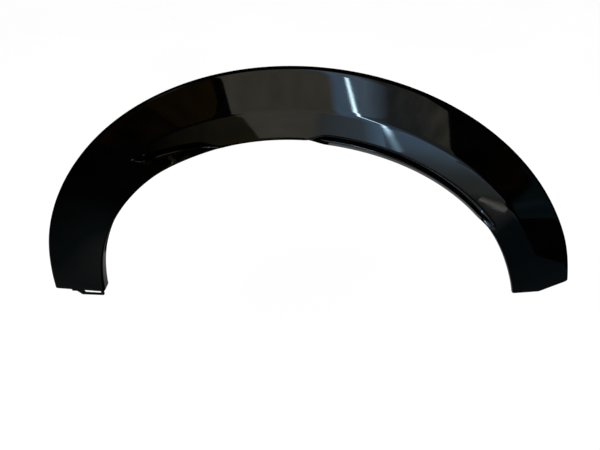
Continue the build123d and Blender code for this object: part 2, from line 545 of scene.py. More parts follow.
@dataclass
class ArchShell:
    """The thin moulded shell: face, stepped lip, inner flange and rim."""

    section: Section
    ends: LegEnds
    rows: int = 300

    def build(self) -> bpy.types.Object:
        """Shape a grid into the skin, copy it to the hidden side and bridge the two.

        Returns:
            The closed shell, with the hidden side in the satin slot.
        """
        columns = len(self.section.front(TOP_ANGLE))
        deselect_all()
        bpy.ops.mesh.primitive_grid_add(x_subdivisions=columns - 1, y_subdivisions=self.rows - 1)
        shell = named("wheel_arch_trim_moulding")
        front, back = self.places(columns)
        place_vertices(shell, front)
        bpy.ops.object.mode_set(mode="EDIT")
        bpy.ops.mesh.select_all(action="SELECT")
        bpy.ops.mesh.duplicate()
        bpy.ops.mesh.flip_normals()
        bpy.ops.object.mode_set(mode="OBJECT")
        place_vertices(shell, back, first=len(front))
        count = len(shell.data.polygons) // 2
        for index, face in enumerate(shell.data.polygons):
            face.material_index = Slot.SATIN.value if index >= count else Slot.GLOSS.value
        bpy.ops.object.mode_set(mode="EDIT")
        bpy.ops.mesh.select_mode(type="EDGE")
        bpy.ops.mesh.select_all(action="DESELECT")
        bpy.ops.mesh.select_non_manifold()
        bpy.ops.mesh.bridge_edge_loops()
        bpy.ops.mesh.select_mode(type="VERT")
        bpy.ops.object.mode_set(mode="OBJECT")
        outward(shell)
        return shell

    def places(self, columns: int) -> tuple[list[Place], list[Place]]:
        """Places of all vertices of the skin and of the hidden side.

        Args:
            columns: Number of columns of the grid.

        Returns:
            The skin's places and the hidden side's places, row by row.
        """
        spans = self.spans(columns)
        front: list[Place] = []
        back: list[Place] = []
        for row in range(self.rows):
            share = row / (self.rows - 1)
            for column, (start, end) in enumerate(spans):
                angle = start + (end - start) * share
                front.append(polar(self.section.front(angle)[column], angle))
                back.append(polar(self.section.back(angle)[column], angle))
        return front, back

    def spans(self, columns: int) -> list[Span]:
        """Angles at which each column starts and ends.

        Args:
            columns: Number of columns of the grid.

        Returns:
            Start angle at the bumper end and end angle at the sill end, per column.
        """
        low = self.section.front(self.ends.guess(LegEnd.BUMPER))
        high = self.section.front(self.ends.guess(LegEnd.SILL))
        return [
            (
                self.ends.angle(LegEnd.BUMPER, low[column][0]),
                self.ends.angle(LegEnd.SILL, high[column][0]),
            )
            for column in range(columns)
        ]


def prism(name: str, outline: list[Point], start: float, depth: float) -> bpy.types.Object:
    """Make a closed prism along the car's width.

    Args:
        name: Name of the object.
        outline: Corners as places along the car and heights, in millimetres.
        start: Place of the first side across the car.
        depth: Distance to the second side.

    Returns:
        The prism.
    """
    deselect_all()
    bpy.ops.mesh.primitive_circle_add(vertices=len(outline), fill_type="NGON")
    obj = named(name)
    place_vertices(obj, [(x, start, z) for x, z in outline])
    bpy.ops.object.mode_set(mode="EDIT")
    bpy.ops.mesh.select_all(action="SELECT")
    bpy.ops.mesh.extrude_region_move(TRANSFORM_OT_translate={"value": (0.0, depth * MM, 0.0)})
    bpy.ops.object.mode_set(mode="OBJECT")
    outward(obj)
    return obj


def block(name: str, size: Place, middle: Place) -> bpy.types.Object:
    """Make a block.

    Args:
        name: Name of the object.
        size: Its three sizes in millimetres.
        middle: Its middle in millimetres.

    Returns:
        The block, settled at the origin.
    """
    deselect_all()
    bpy.ops.mesh.primitive_cube_add(
        size=1.0,
        location=[value * MM for value in middle],
        scale=[value * MM for value in size],
    )
    obj = named(name)
    settle(obj)
    return obj


def copies_round_axis(obj: bpy.types.Object, angles: list[float]) -> list[bpy.types.Object]:
    """Copy an object round the wheel axis, each copy with its own mesh.

    Args:
        obj: Object made at angle 0, which is used up.
        angles: Angle of each copy.

    Returns:
        The copies.
    """
    made = []
    for angle in angles:
        activate(obj)
        bpy.ops.object.duplicate()
        copy = bpy.context.object
        copy.rotation_euler = (0.0, -math.radians(angle), 0.0)
        settle(copy)
        made.append(copy)
    bpy.data.objects.remove(obj, do_unlink=True)
    return made


def with_corner(before: Point, corner: Point, after: Point, radius: float, chords: int) -> list[Point]:
    """Round one corner of an outline.

    Args:
        before: Point before the corner.
        corner: The corner.
        after: Point after the corner.
        radius: Length of the rounding on each side.
        chords: Number of chords.

    Returns:
        Points that take the corner's place.
    """
    entry = toward(corner, before, radius)
    leave = toward(corner, after, radius)
    return [rounded(entry, corner, leave, k / chords) for k in range(chords + 1)]


@dataclass
class Backing:
    """Clip seats, ribs and end walls of the hidden side, in millimetres and degrees."""

    section: Section
    ends: LegEnds
    seat_count: int = 6
    first_angle: float = 30.0
    pitch: float = 24.0
    seat_radius: float = 458.0
    seat_width: float = 26.0
    seat_length: float = 34.0
    seat_wall: float = 2.2
    seat_plate: float = 2.5
    seat_gap: float = 4.0
    hole_radius: float = 4.0
    hole_depth: float = 10.0
    hole_sides: int = 40
    rib_thickness: float = 1.8
    rib_gap: float = 14.0
    reach: float = 80.0
    margin: float = 20.0
    end_columns: int = 28
    end_lift: float = 0.05
    first_section: int = 6
    last_section: int = 183

    def build(self) -> bpy.types.Object:
        """Make all of it, cut to the space behind the face.

        Returns:
            One object with the seats, ribs and end walls.
        """
        angles = [self.first_angle + self.pitch * k for k in range(self.seat_count)]
        pieces = copies_round_axis(self.seat(), angles)
        pieces += copies_round_axis(self.rib(), [angle + self.pitch / 2 for angle in angles])
        pieces += [self.end_wall(end) for end in LegEnd]
        backing = join(pieces)
        combine(backing, self.space(), Cut.INTERSECT)
        for face in backing.data.polygons:
            face.material_index = Slot.SATIN.value
        return backing

    def seat(self) -> bpy.types.Object:
        """Make one clip seat at angle 0, open towards the rim, with its clip hole.

        Returns:
            The seat.
        """
        top = -self.seat_gap
        middle = top - self.reach / 2
        seat = block(
            "clip_seat",
            (self.seat_width, self.reach, self.seat_length),
            (self.seat_radius, middle, 0.0),
        )
        pocket = block(
            "clip_pocket",
            (self.seat_width, self.reach, self.seat_length - 2 * self.seat_wall),
            (self.seat_radius + self.seat_wall, middle - self.seat_plate, 0.0),
        )
        combine(seat, pocket, Cut.DIFFERENCE)
        deselect_all()
        bpy.ops.mesh.primitive_cylinder_add(
            vertices=self.hole_sides,
            radius=self.hole_radius * MM,
            depth=self.hole_depth * MM,
            location=(self.seat_radius * MM, top * MM, 0.0),
            rotation=(math.pi / 2, 0.0, 0.0),
        )
        hole = named("clip_hole")
        settle(hole)
        combine(seat, hole, Cut.DIFFERENCE)
        return seat

    def rib(self) -> bpy.types.Object:
        """Make one rib at angle 0, long enough to reach both walls.

        Returns:
            The rib.
        """
        section = self.section
        return block(
            "rib",
            (
                section.outer_radius - section.inner_radius + 2 * self.margin,
                self.reach,
                self.rib_thickness,
            ),
            (
                (section.outer_radius + section.inner_radius) / 2,
                -self.rib_gap - self.reach / 2,
                0.0,
            ),
        )

    def end_wall(self, end: LegEnd) -> bpy.types.Object:
        """Make the wall that closes a leg end.

        Args:
            end: Which end.

        Returns:
            The wall, longer than the space that it closes.
        """
        near = self.section.inner_radius - self.margin / 2
        far = self.section.outer_radius + self.margin / 4
        middle = (near + far) / 2
        low: list[Point] = []
        high: list[Point] = []
        for column in range(self.end_columns + 1):
            radius = near + (far - near) * column / self.end_columns
            angle = math.radians(self.ends.angle(end, radius))
            x = radius * math.cos(angle)
            low.append((x, radius * math.sin(angle) + self.end_lift))
            high.append((x, self.ends.height(end, middle, x) + self.section.wall))
        return prism(f"{end.value}_end_wall", low + high[::-1], -self.reach, 2 * self.reach)

    def space(self) -> bpy.types.Object:
        """Make the space behind the face as a closed tube.

        Returns:
            The tube, from the bumper end to the sill end.
        """
        angles = range(self.first_section, self.last_section + 1)
        sides = len(self.section.hollow(TOP_ANGLE))
        deselect_all()
        bpy.ops.mesh.primitive_grid_add(x_subdivisions=sides, y_subdivisions=len(angles) - 1)
        space = named("space_behind")
        places = []
        for angle in angles:
            loop = self.section.hollow(angle)
            places += [polar(point, angle) for point in [*loop, loop[0]]]
        place_vertices(space, places)
        bpy.ops.object.mode_set(mode="EDIT")
        bpy.ops.mesh.select_all(action="SELECT")
        bpy.ops.mesh.remove_doubles(threshold=MERGE_DISTANCE)
        bpy.ops.mesh.fill_holes(sides=0)
        bpy.ops.object.mode_set(mode="OBJECT")
        outward(space)
        return space


@dataclass
class SlottedTab:
    """Slotted tab under the sill end, in millimetres."""

    outer_x: float = 467.0
    step_x: float = 456.5
    low_x: float = 447.5
    inner_x: float = 401.0
    outer_bottom: float = 3.4
    inner_bottom: float = 4.6
    step_height: float = 12.2
    top: float = 20.7
    front: float = -7.0
    thickness: float = 2.5
    corner: float = 4.0
    slot_outer_x: float = 443.5
    slot_inner_x: float = 407.0
    slot_bottom: float = 9.2
    slot_top: float = 16.6
    slot_slant: float = 3.5
    slot_corner: float = 1.5
    chords: int = 5

    def build(self) -> bpy.types.Object:
        """Make the tab with its slot.

        Returns:
            The tab, which reaches into the end wall.
        """
        low = (-self.low_x, self.outer_bottom)
        corner = (-self.inner_x, self.inner_bottom)
        inner = (-self.inner_x, self.top)
        outline = [
            (-self.outer_x, self.top),
            (-self.outer_x, self.step_height),
            (-self.step_x, self.step_height),
            low,
            *with_corner(low, corner, inner, self.corner, self.chords),
            inner,
        ]
        tab = prism("slotted_tab", outline, self.front, self.thickness)
        corners = [
            (-self.slot_outer_x, self.slot_top),
            (-self.slot_outer_x + self.slot_slant, self.slot_bottom),
            (-self.slot_inner_x, self.slot_bottom),
            (-self.slot_inner_x, self.slot_top),
        ]
        slot_outline: list[Point] = []
        for k, corner in enumerate(corners):
            after = corners[(k + 1) % len(corners)]
            slot_outline += with_corner(corners[k - 1], corner, after, self.slot_corner, self.chords)
        slot = prism("tab_slot", slot_outline, self.front - self.thickness, 3 * self.thickness)
        combine(tab, slot, Cut.DIFFERENCE)
        return tab


@dataclass
class NodeBench:
    """Adds and links the nodes of one material or world."""

    tree: bpy.types.NodeTree

    def add(self, kind: str, **settings: object) -> bpy.types.Node:
        """Add a node.

        Args:
            kind: Type of the node.
            settings: The node's own settings.

        Returns:
            The node.
        """
        node = self.tree.nodes.new(kind)
        for name, value in settings.items():
            setattr(node, name, value)
        return node

    def link(self, source: bpy.types.NodeSocket, target: bpy.types.NodeSocket) -> None:
        """Link an output to an input."""
        self.tree.links.new(source, target)

    def place(self, stretch: Place = (1.0, 1.0, 1.0)) -> bpy.types.NodeSocket:
        """Give the object's own coordinates.

        Args:
            stretch: Scale of the coordinates along each axis.

        Returns:
            The coordinates.
        """
        mapping = self.add("ShaderNodeMapping")
        mapping.inputs["Scale"].default_value = stretch
        self.link(self.add("ShaderNodeTexCoord").outputs["Object"], mapping.inputs["Vector"])
        return mapping.outputs["Vector"]

    def noise(self, place: bpy.types.NodeSocket, scale: float, detail: float) -> bpy.types.NodeSocket:
        """Add a noise.

        Args:
            place: Coordinates to read it at.
            scale: Patches per metre.
            detail: Number of finer layers.

        Returns:
            The noise value.
        """
        node = self.add("ShaderNodeTexNoise")
        node.inputs["Scale"].default_value = scale
        node.inputs["Detail"].default_value = detail
        self.link(place, node.inputs["Vector"])
        return node.outputs["Fac"]

    def spread(self, value: bpy.types.NodeSocket, low: float, high: float) -> bpy.types.NodeSocket:
        """Spread a noise over a range.

        Args:
            value: The noise.
            low: Result where the noise is low.
            high: Result where the noise is high.

        Returns:
            The spread value.
        """
        node = self.add("ShaderNodeMapRange")
        node.inputs["From Min"].default_value = NOISE_LOW
        node.inputs["From Max"].default_value = NOISE_HIGH
        node.inputs["To Min"].default_value = low
        node.inputs["To Max"].default_value = high
        self.link(value, node.inputs["Value"])
        return node.outputs["Result"]

    def mix(
        self,
        share: bpy.types.NodeSocket,
        first: Colour,
        second: Colour | bpy.types.NodeSocket,
    ) -> bpy.types.NodeSocket:
        """Mix two colours.

        Args:
            share: Share of the second colour.
            first: Colour where the share is 0.
            second: Colour where the share is 1, or an output that gives it.

        Returns:
            The mixed colour.
        """
        node = self.add("ShaderNodeMix", data_type="RGBA")
        ends = [socket for socket in node.inputs if socket.type == "RGBA"]
        ends[0].default_value = (*first, 1.0)
        if isinstance(second, tuple):
            ends[1].default_value = (*second, 1.0)
        else:
            self.link(second, ends[1])
        self.link(share, node.inputs["Factor"])
        return next(socket for socket in node.outputs if socket.type == "RGBA")

    def hump(self, share: bpy.types.NodeSocket) -> bpy.types.NodeSocket:
        """Turn a share into one that rises smoothly to 1 in the middle and falls again.

        Args:
            share: Share of the way, between 0 and 1.

        Returns:
            The share of the hump's height.
        """
        middle = 0.5
        fold = self.add("ShaderNodeMath", operation="PINGPONG")
        fold.inputs[1].default_value = middle
        self.link(share, fold.inputs[0])
        rise = self.add("ShaderNodeMapRange", interpolation_type="SMOOTHSTEP")
        rise.inputs["From Max"].default_value = middle
        self.link(fold.outputs["Value"], rise.inputs["Value"])
        return rise.outputs["Result"]

    def bump(self, height: bpy.types.NodeSocket, strength: float, depth: float) -> bpy.types.NodeSocket:
        """Turn a height into a bump.

        Args:
            height: The height.
            strength: Strength of the bump.
            depth: Depth of the bump in metres.

        Returns:
            The bumped normal.
        """
        node = self.add("ShaderNodeBump")
        node.inputs["Strength"].default_value = strength
        node.inputs["Distance"].default_value = depth
        self.link(height, node.inputs["Height"])
        return node.outputs["Normal"]

    def seen(self) -> bpy.types.NodeSocket:
        """Tell what is looked at, also in gloss or through glass, from light that falls.

        Returns:
            1 for what is looked at, and 0 for light that falls.
        """
        path = self.add("ShaderNodeLightPath")
        either = self.add("ShaderNodeMath", operation="MAXIMUM")
        self.link(path.outputs["Is Camera Ray"], either.inputs[0])
        self.link(path.outputs["Is Glossy Ray"], either.inputs[1])
        seen = self.add("ShaderNodeMath", operation="MAXIMUM")
        self.link(either.outputs["Value"], seen.inputs[0])
        self.link(path.outputs["Is Transmission Ray"], seen.inputs[1])
        return seen.outputs["Value"]


def new_material(name: str) -> tuple[bpy.types.Material, NodeBench, bpy.types.Node]:
    """Start a node material.

    Args:
        name: Name of the material.

    Returns:
        The material, its bench and its main shader.
    """
    material = bpy.data.materials.new(name)
    material.use_nodes = True
    bench = NodeBench(material.node_tree)
    return material, bench, material.node_tree.nodes["Principled BSDF"]


@dataclass(frozen=True)
class GlossBlack:
    """High gloss black plastic with a faint orange peel and wipe marks."""

    name: str = "gloss_black"
    deep: Colour = (0.0003, 0.0003, 0.0003)
    dusty: Colour = (0.0009, 0.0009, 0.0009)
    sharp: float = 0.015
    hazy: float = 0.045
    haze_scale: float = 22.0
    haze_detail: float = 4.0
    wipe_scale: float = 9.0
    wipe_detail: float = 3.0
    wipe_stretch: Place = (1.0, 1.0, 4.0)
    peel_scale: float = 260.0
    peel_detail: float = 1.0
    peel_strength: float = 0.015
    peel_depth: float = 0.0002
    refraction: float = 1.5

    def material(self) -> bpy.types.Material:
        """Make the node material.

        Returns:
            The material.
        """
        material, bench, shader = new_material(self.name)
        haze = bench.noise(bench.place(), self.haze_scale, self.haze_detail)
        wipes = bench.noise(bench.place(self.wipe_stretch), self.wipe_scale, self.wipe_detail)
        peel = bench.noise(bench.place(), self.peel_scale, self.peel_detail)
        share = bench.spread(wipes, 0.0, 1.0)
        bench.link(bench.mix(share, self.deep, self.dusty), shader.inputs["Base Color"])
        bench.link(bench.spread(haze, self.sharp, self.hazy), shader.inputs["Roughness"])
        bench.link(bench.bump(peel, self.peel_strength, self.peel_depth), shader.inputs["Normal"])
        shader.inputs["IOR"].default_value = self.refraction
        return material


@dataclass(frozen=True)
class SatinBlack:
    """Finely grained satin black of the moulding's hidden side."""

    name: str = "satin_black"
    dark: Colour = (0.016, 0.016, 0.0165)
    light: Colour = (0.026, 0.026, 0.0265)
    smooth: float = 0.38
    rough: float = 0.5
    cloud_scale: float = 30.0
    cloud_detail: float = 4.0
    grain_scale: float = 1400.0
    grain_detail: float = 2.0
    grain_strength: float = 0.25
    grain_depth: float = 0.0002

    def material(self) -> bpy.types.Material:
        """Make the node material.

        Returns:
            The material.
        """
        material, bench, shader = new_material(self.name)
        cloud = bench.noise(bench.place(), self.cloud_scale, self.cloud_detail)
        grain = bench.noise(bench.place(), self.grain_scale, self.grain_detail)
        share = bench.spread(cloud, 0.0, 1.0)
        bench.link(bench.mix(share, self.dark, self.light), shader.inputs["Base Color"])
        bench.link(bench.spread(grain, self.smooth, self.rough), shader.inputs["Roughness"])
        bench.link(bench.bump(grain, self.grain_strength, self.grain_depth), shader.inputs["Normal"])
        return material


@dataclass
class PaleFloor:
    """The pale studio floor, in metres."""

    height: float = -0.365
    size: float = 60.0
    first: Colour = (0.93, 0.93, 0.93)
    second: Colour = (0.95, 0.95, 0.95)
    patch_scale: float = 1.5
    patch_detail: float = 2.0
    roughness: float = 0.9
    lift: float = 0.12

    def build(self) -> None:
        """Lay the floor, a little lifted to white where it is looked at."""
        deselect_all()
        bpy.ops.mesh.primitive_plane_add(size=self.size, location=(0.0, 0.0, self.height))
        floor = named("pale_floor")
        settle(floor)
        material, bench, shader = new_material("pale_floor")
        noise = bench.noise(bench.place(), self.patch_scale, self.patch_detail)
        patches = bench.spread(noise, 0.0, 1.0)
        bench.link(bench.mix(patches, self.first, self.second), shader.inputs["Base Color"])
        shader.inputs["Roughness"].default_value = self.roughness
        shader.inputs["Specular IOR Level"].default_value = 0.0
        shader.inputs["Emission Color"].default_value = (1.0, 1.0, 1.0, 1.0)
        lift = bench.add("ShaderNodeMath", operation="MULTIPLY")
        lift.inputs[1].default_value = self.lift
        bench.link(bench.seen(), lift.inputs[0])
        bench.link(lift.outputs["Value"], shader.inputs["Emission Strength"])
        floor.data.materials.append(material)


@dataclass(frozen=True)
class SoftLamp:
    """A square soft lamp, in metres and watts."""

    name: str
    place: Place
    turn: Place
    size: float
    power: float

    def build(self) -> None:
        """Hang the lamp; the cards take its place in the gloss."""
        deselect_all()
        turn = [math.radians(value) for value in self.turn]
        bpy.ops.object.light_add(type="AREA", location=self.place, rotation=turn)
        lamp = bpy.context.object
        lamp.name = self.name
        lamp.data.shape = "SQUARE"
        lamp.data.size = self.size
        lamp.data.energy = self.power
        lamp.visible_glossy = False
        LOG.info("%s: %.0f W", self.name, self.power)


def only_in_gloss(obj: bpy.types.Object) -> None:
    """Let a piece of the studio show in glossy surfaces alone.

    Args:
        obj: Object of the studio.
    """
    obj.visible_camera = False
    obj.visible_diffuse = False
    obj.visible_shadow = False
    obj.visible_transmission = False


def on_wall(*corners: Point, layer: int = 0) -> tuple[Place, ...]:
    """Corners on the studio's front wall, from places along the car and heights."""
    return tuple((x, WALL + layer * LAYER, z) for x, z in corners)


def on_floor(*corners: Point, layer: int = 0) -> tuple[Place, ...]:
    """Corners on the studio's floor, from places along and across the car."""
    return tuple((x, y, MAT_HEIGHT + layer * LAYER) for x, y in corners)


@dataclass(frozen=True)
class ReflectionCard:
    """A card that the gloss mirrors, in metres.

    The glow goes from start, at the edge between the first two corners, to finish at the
    edge between the last two, or to finish in the middle and back. With a tail, finish
    turns into that colour from the first corner's end to the second corner's end.
    """

    name: str
    corners: tuple[Place, ...]
    start: Colour
    finish: Colour
    clouds: float = 0.0
    fade: Fade = Fade.ACROSS
    tail: Colour | None = None
    cloud_scale: float = 3.0
    cloud_detail: float = 4.0
    cells: int = 10

    def build(self) -> None:
        """Stand the card in the studio."""
        deselect_all()
        bpy.ops.mesh.primitive_grid_add(x_subdivisions=self.cells, y_subdivisions=self.cells)
        card = named(self.name)
        for index, vertex in enumerate(card.data.vertices):
            row, column = divmod(index, self.cells + 1)
            vertex.co = self.spot(column / self.cells, row / self.cells)
        card.data.update()
        card.data.materials.append(self.material())
        only_in_gloss(card)

    def spot(self, across: float, along: float) -> Place:
        """Place on the card.

        Args:
            across: Share of the way from the first corner to the second.
            along: Share of the way from the first edge to the last.

        Returns:
            The place in metres.
        """
        first, second, third, fourth = self.corners
        near = [a + (b - a) * across for a, b in zip(first, second)]
        far = [a + (b - a) * across for a, b in zip(fourth, third)]
        return tuple(a + (b - a) * along for a, b in zip(near, far))

    def material(self) -> bpy.types.Material:
        """Make the glowing material.

        Returns:
            The material.
        """
        material, bench, shader = new_material(self.name)
        parts = bench.add("ShaderNodeSeparateXYZ")
        bench.link(bench.add("ShaderNodeTexCoord").outputs["UV"], parts.inputs["Vector"])
        share = parts.outputs["Y"]
        if self.fade is Fade.MIDDLE:
            share = bench.hump(share)
        finish = self.finish
        if self.tail is not None:
            finish = bench.mix(parts.outputs["X"], self.finish, self.tail)
        noise = bench.noise(bench.place(), self.cloud_scale, self.cloud_detail)
        glow = bench.add("ShaderNodeEmission")
        bench.link(bench.mix(share, self.start, finish), glow.inputs["Color"])
        bench.link(bench.spread(noise, 1.0 - self.clouds, 1.0 + self.clouds), glow.inputs["Strength"])
        output = material.node_tree.nodes["Material Output"]
        bench.link(glow.outputs["Emission"], output.inputs["Surface"])
        material.node_tree.nodes.remove(shader)
        material.cycles.emission_sampling = "NONE"
        return material


@dataclass(frozen=True)
class HazeStrips:
    """Bluish haze on the floor, in strips side by side away from the pale gleam."""

    corner: Point = (0.89, -1.42)
    heading: float = 52.1
    low_end: float = -2.2
    high_end: float = 0.3
    far_high_end: float = -0.5
    far_from: float = 0.42
    layer: int = 2
    clouds: float = 0.1
    stops: tuple[tuple[float, Colour], ...] = (
        (-0.03, (0.12, 0.12, 0.10)),
        (0.03, (0.36, 0.40, 0.40)),
        (0.18, (0.42, 0.48, 0.48)),
        (0.27, (0.47, 0.60, 0.71)),
        (0.42, (0.80, 1.17, 1.55)),
        (0.5, (0.88, 1.40, 2.05)),
        (0.9, (0.95, 1.60, 2.40)),
    )

    def cards(self) -> list[ReflectionCard]:
        """Cards between each two stops."""
        return [self.strip(k) for k in range(len(self.stops) - 1)]

    def strip(self, number: int) -> ReflectionCard:
        """Make the card of one strip.

        Args:
            number: Number of the stop that the strip starts at.

        Returns:
            The card.
        """
        (near, start), (far, finish) = self.stops[number : number + 2]
        high = self.far_high_end if near >= self.far_from else self.high_end
        corners = (
            self.spot(near, self.low_end),
            self.spot(near, high),
            self.spot(far, high),
            self.spot(far, self.low_end),
        )
        places = on_floor(*corners, layer=self.layer)
        return ReflectionCard(f"haze_{number}", places, start, finish, self.clouds)

    def spot(self, away: float, along: float) -> Point:
        """Place on the floor beside the gleam.

        Args:
            away: Distance away from the gleam.
            along: Distance along the gleam.

        Returns:
            The place along and across the car.
        """
        turn = math.radians(self.heading)
        x = self.corner[0] + away * math.sin(turn) + along * math.cos(turn)
        return (x, self.corner[1] - away * math.cos(turn) + along * math.sin(turn))


# Glow of the cards in linear light. The gloss mirrors about a twenty-fifth of it.
PANEL: Colour = (0.68, 0.64, 0.51)
PANEL_LOW: Colour = (0.78, 0.73, 0.60)
PANEL_EDGE: Colour = (0.50, 0.57, 0.60)
GLOW: Colour = (0.90, 1.48, 2.25)
GLOW_WARM: Colour = (1.06, 1.53, 2.10)
GLOW_LOW: Colour = (1.15, 2.00, 3.10)
GLOW_PALE: Colour = (0.64, 0.88, 1.10)
GLOW_DIM: Colour = (0.85, 1.30, 1.85)
TUBE_TOP: Colour = (25.5, 35.5, 38.5)
TUBE: Colour = (17.0, 24.0, 27.0)
TUBE_CREASE: Colour = (14.0, 21.5, 27.0)
TUBE_LOW: Colour = (3.2, 5.2, 6.8)
TUBE_END: Colour = (2.0, 3.2, 4.2)
GREY: Colour = (0.42, 0.40, 0.31)
SLATE: Colour = (0.24, 0.27, 0.28)
BROWN: Colour = (0.042, 0.012, 0.0)
BROWN_WARM: Colour = (0.080, 0.048, 0.005)
BROWN_DARK: Colour = (0.022, 0.009, 0.0)
BROWN_PALE: Colour = (0.18, 0.15, 0.08)
TEAL: Colour = (0.038, 0.078, 0.100)
TEAL_DARK: Colour = (0.02, 0.05, 0.058)
GLEAM_EDGE: Colour = (0.13, 0.13, 0.11)
GLEAM: Colour = (2.1, 2.05, 1.92)
LEG_TOP: Colour = (0.30, 0.32, 0.33)
LEG_UPPER: Colour = (0.030, 0.050, 0.060)
LEG_MIDDLE: Colour = (0.006, 0.033, 0.045)
LEG_END: Colour = (0.040, 0.058, 0.066)
SILL_LEG: Colour = (0.18, 0.19, 0.19)
SILL_LEG_UPPER: Colour = (0.025, 0.040, 0.044)
GLINT: Colour = (0.36, 0.32, 0.22)
LIP: Colour = (0.20, 0.20, 0.18)
DIM: Colour = (0.20, 0.20, 0.19)
BLACK: Colour = (0.0, 0.0, 0.0)

UPPER_CARDS: tuple[ReflectionCard, ...] = (
    ReflectionCard(
        "panel_top",
        on_wall((-1.82, 2.0), (0.38, 2.0), (-1.1, 6.0), (-4.1, 6.0)),
        PANEL, PANEL, clouds=0.12,
    ),
    ReflectionCard(
        "panel_middle",
        on_wall((-0.95, -0.36), (0.0, -0.36), (0.38, 2.0), (-1.82, 2.0)),
        PANEL_LOW, PANEL,
    ),
    ReflectionCard(
        "glow_edge_top",
        on_wall((0.38, 2.0), (-1.1, 6.0), (-0.9, 6.0), (0.54, 2.0)),
        PANEL, GLOW, clouds=0.15,
    ),
    ReflectionCard(
        "glow_edge_middle", on_wall((0.0, -0.36), (0.38, 2.0), (0.54, 2.0), (0.25, -0.36)), PANEL, GLOW
    ),
    ReflectionCard(
        "glow_top",
        on_wall((0.54, 2.0), (-0.9, 6.0), (-0.5, 6.0), (1.12, 2.0)),
        GLOW, GLOW_WARM, clouds=0.12,
    ),
    ReflectionCard(
        "glow_fade",
        on_wall((1.12, 2.0), (-0.5, 6.0), (0.2, 6.0), (1.56, 2.0)),
        GLOW_WARM, SLATE, clouds=0.12,
    ),
    ReflectionCard(
        "glow_middle", on_wall((0.25, -0.36), (0.54, 2.0), (1.56, 2.0), (2.0, -0.36)), GLOW, SLATE
    ),
    ReflectionCard(
        "slate_top",
        on_wall((1.56, 2.0), (0.2, 6.0), (0.63, 6.0), (3.107, 1.2)),
        SLATE, SLATE, clouds=0.25,
    ),
    ReflectionCard(
        "slate_middle", on_wall((2.0, -0.36), (1.56, 2.0), (3.107, 1.2), (3.0, -0.36)), SLATE, SLATE
    ),
    ReflectionCard(
        "grey_board",
        on_wall((1.45, 2.2), (2.25, 1.66), (3.10, 1.2), (1.87, 3.6), layer=1),
        SLATE, GREY, clouds=0.4,
    ),
    ReflectionCard(
        "tube_top",
        on_wall((0.833, 2.05), (0.49, 2.52), (0.61, 2.52), (0.953, 2.05), layer=2),
        GLOW, TUBE_TOP, fade=Fade.MIDDLE, tail=TUBE,
    ),
    ReflectionCard(
        "tube_middle",
        (
            *on_floor((0.495, -3.0), layer=4),
            *on_wall((0.833, 2.05), (0.953, 2.05), layer=2),
            *on_floor((0.585, -3.0), layer=4),
        ),
        GLOW_LOW,
        TUBE_CREASE,
        fade=Fade.MIDDLE,
        tail=TUBE_TOP,
    ),
    ReflectionCard(
        "brown_wall_fade",
        on_wall((-4.05, -0.36), (-3.5, 1.0), (-3.6, 1.0), (-4.15, -0.36)),
        BLACK, BROWN, clouds=0.3,
    ),
    ReflectionCard(
        "brown_wall_low",
        on_wall((-4.15, -0.36), (-3.6, 1.0), (-5.0, 1.0), (-5.0, -0.36)),
        BROWN, BROWN, clouds=0.3,
    ),
    ReflectionCard(
        "brown_wall_middle",
        on_wall((-5.0, 1.0), (-5.0, 2.1), (-2.15, 2.1), (-2.85, 1.0)),
        BROWN_DARK, BROWN_WARM, clouds=0.3,
    ),
    ReflectionCard(
        "brown_wall_high",
        on_wall((-5.0, 2.1), (-5.2, 6.0), (-4.4, 6.0), (-2.15, 2.1)),
        BROWN, BROWN_WARM, clouds=0.3,
    ),
    ReflectionCard(
        "brown_end",
        on_wall((3.9, -0.36), (3.9, 0.9), (5.2, 0.6), (5.2, -0.36)),
        BLACK, BROWN_DARK, clouds=0.8,
    ),
    ReflectionCard(
        "sill_glint",
        ((-2.62, -0.48, 2.1), (-2.5, -1.59, 1.5), (-2.08, -1.98, 1.71), (-2.08, -0.78, 2.58)),
        GLINT, GLINT,
    ),
)

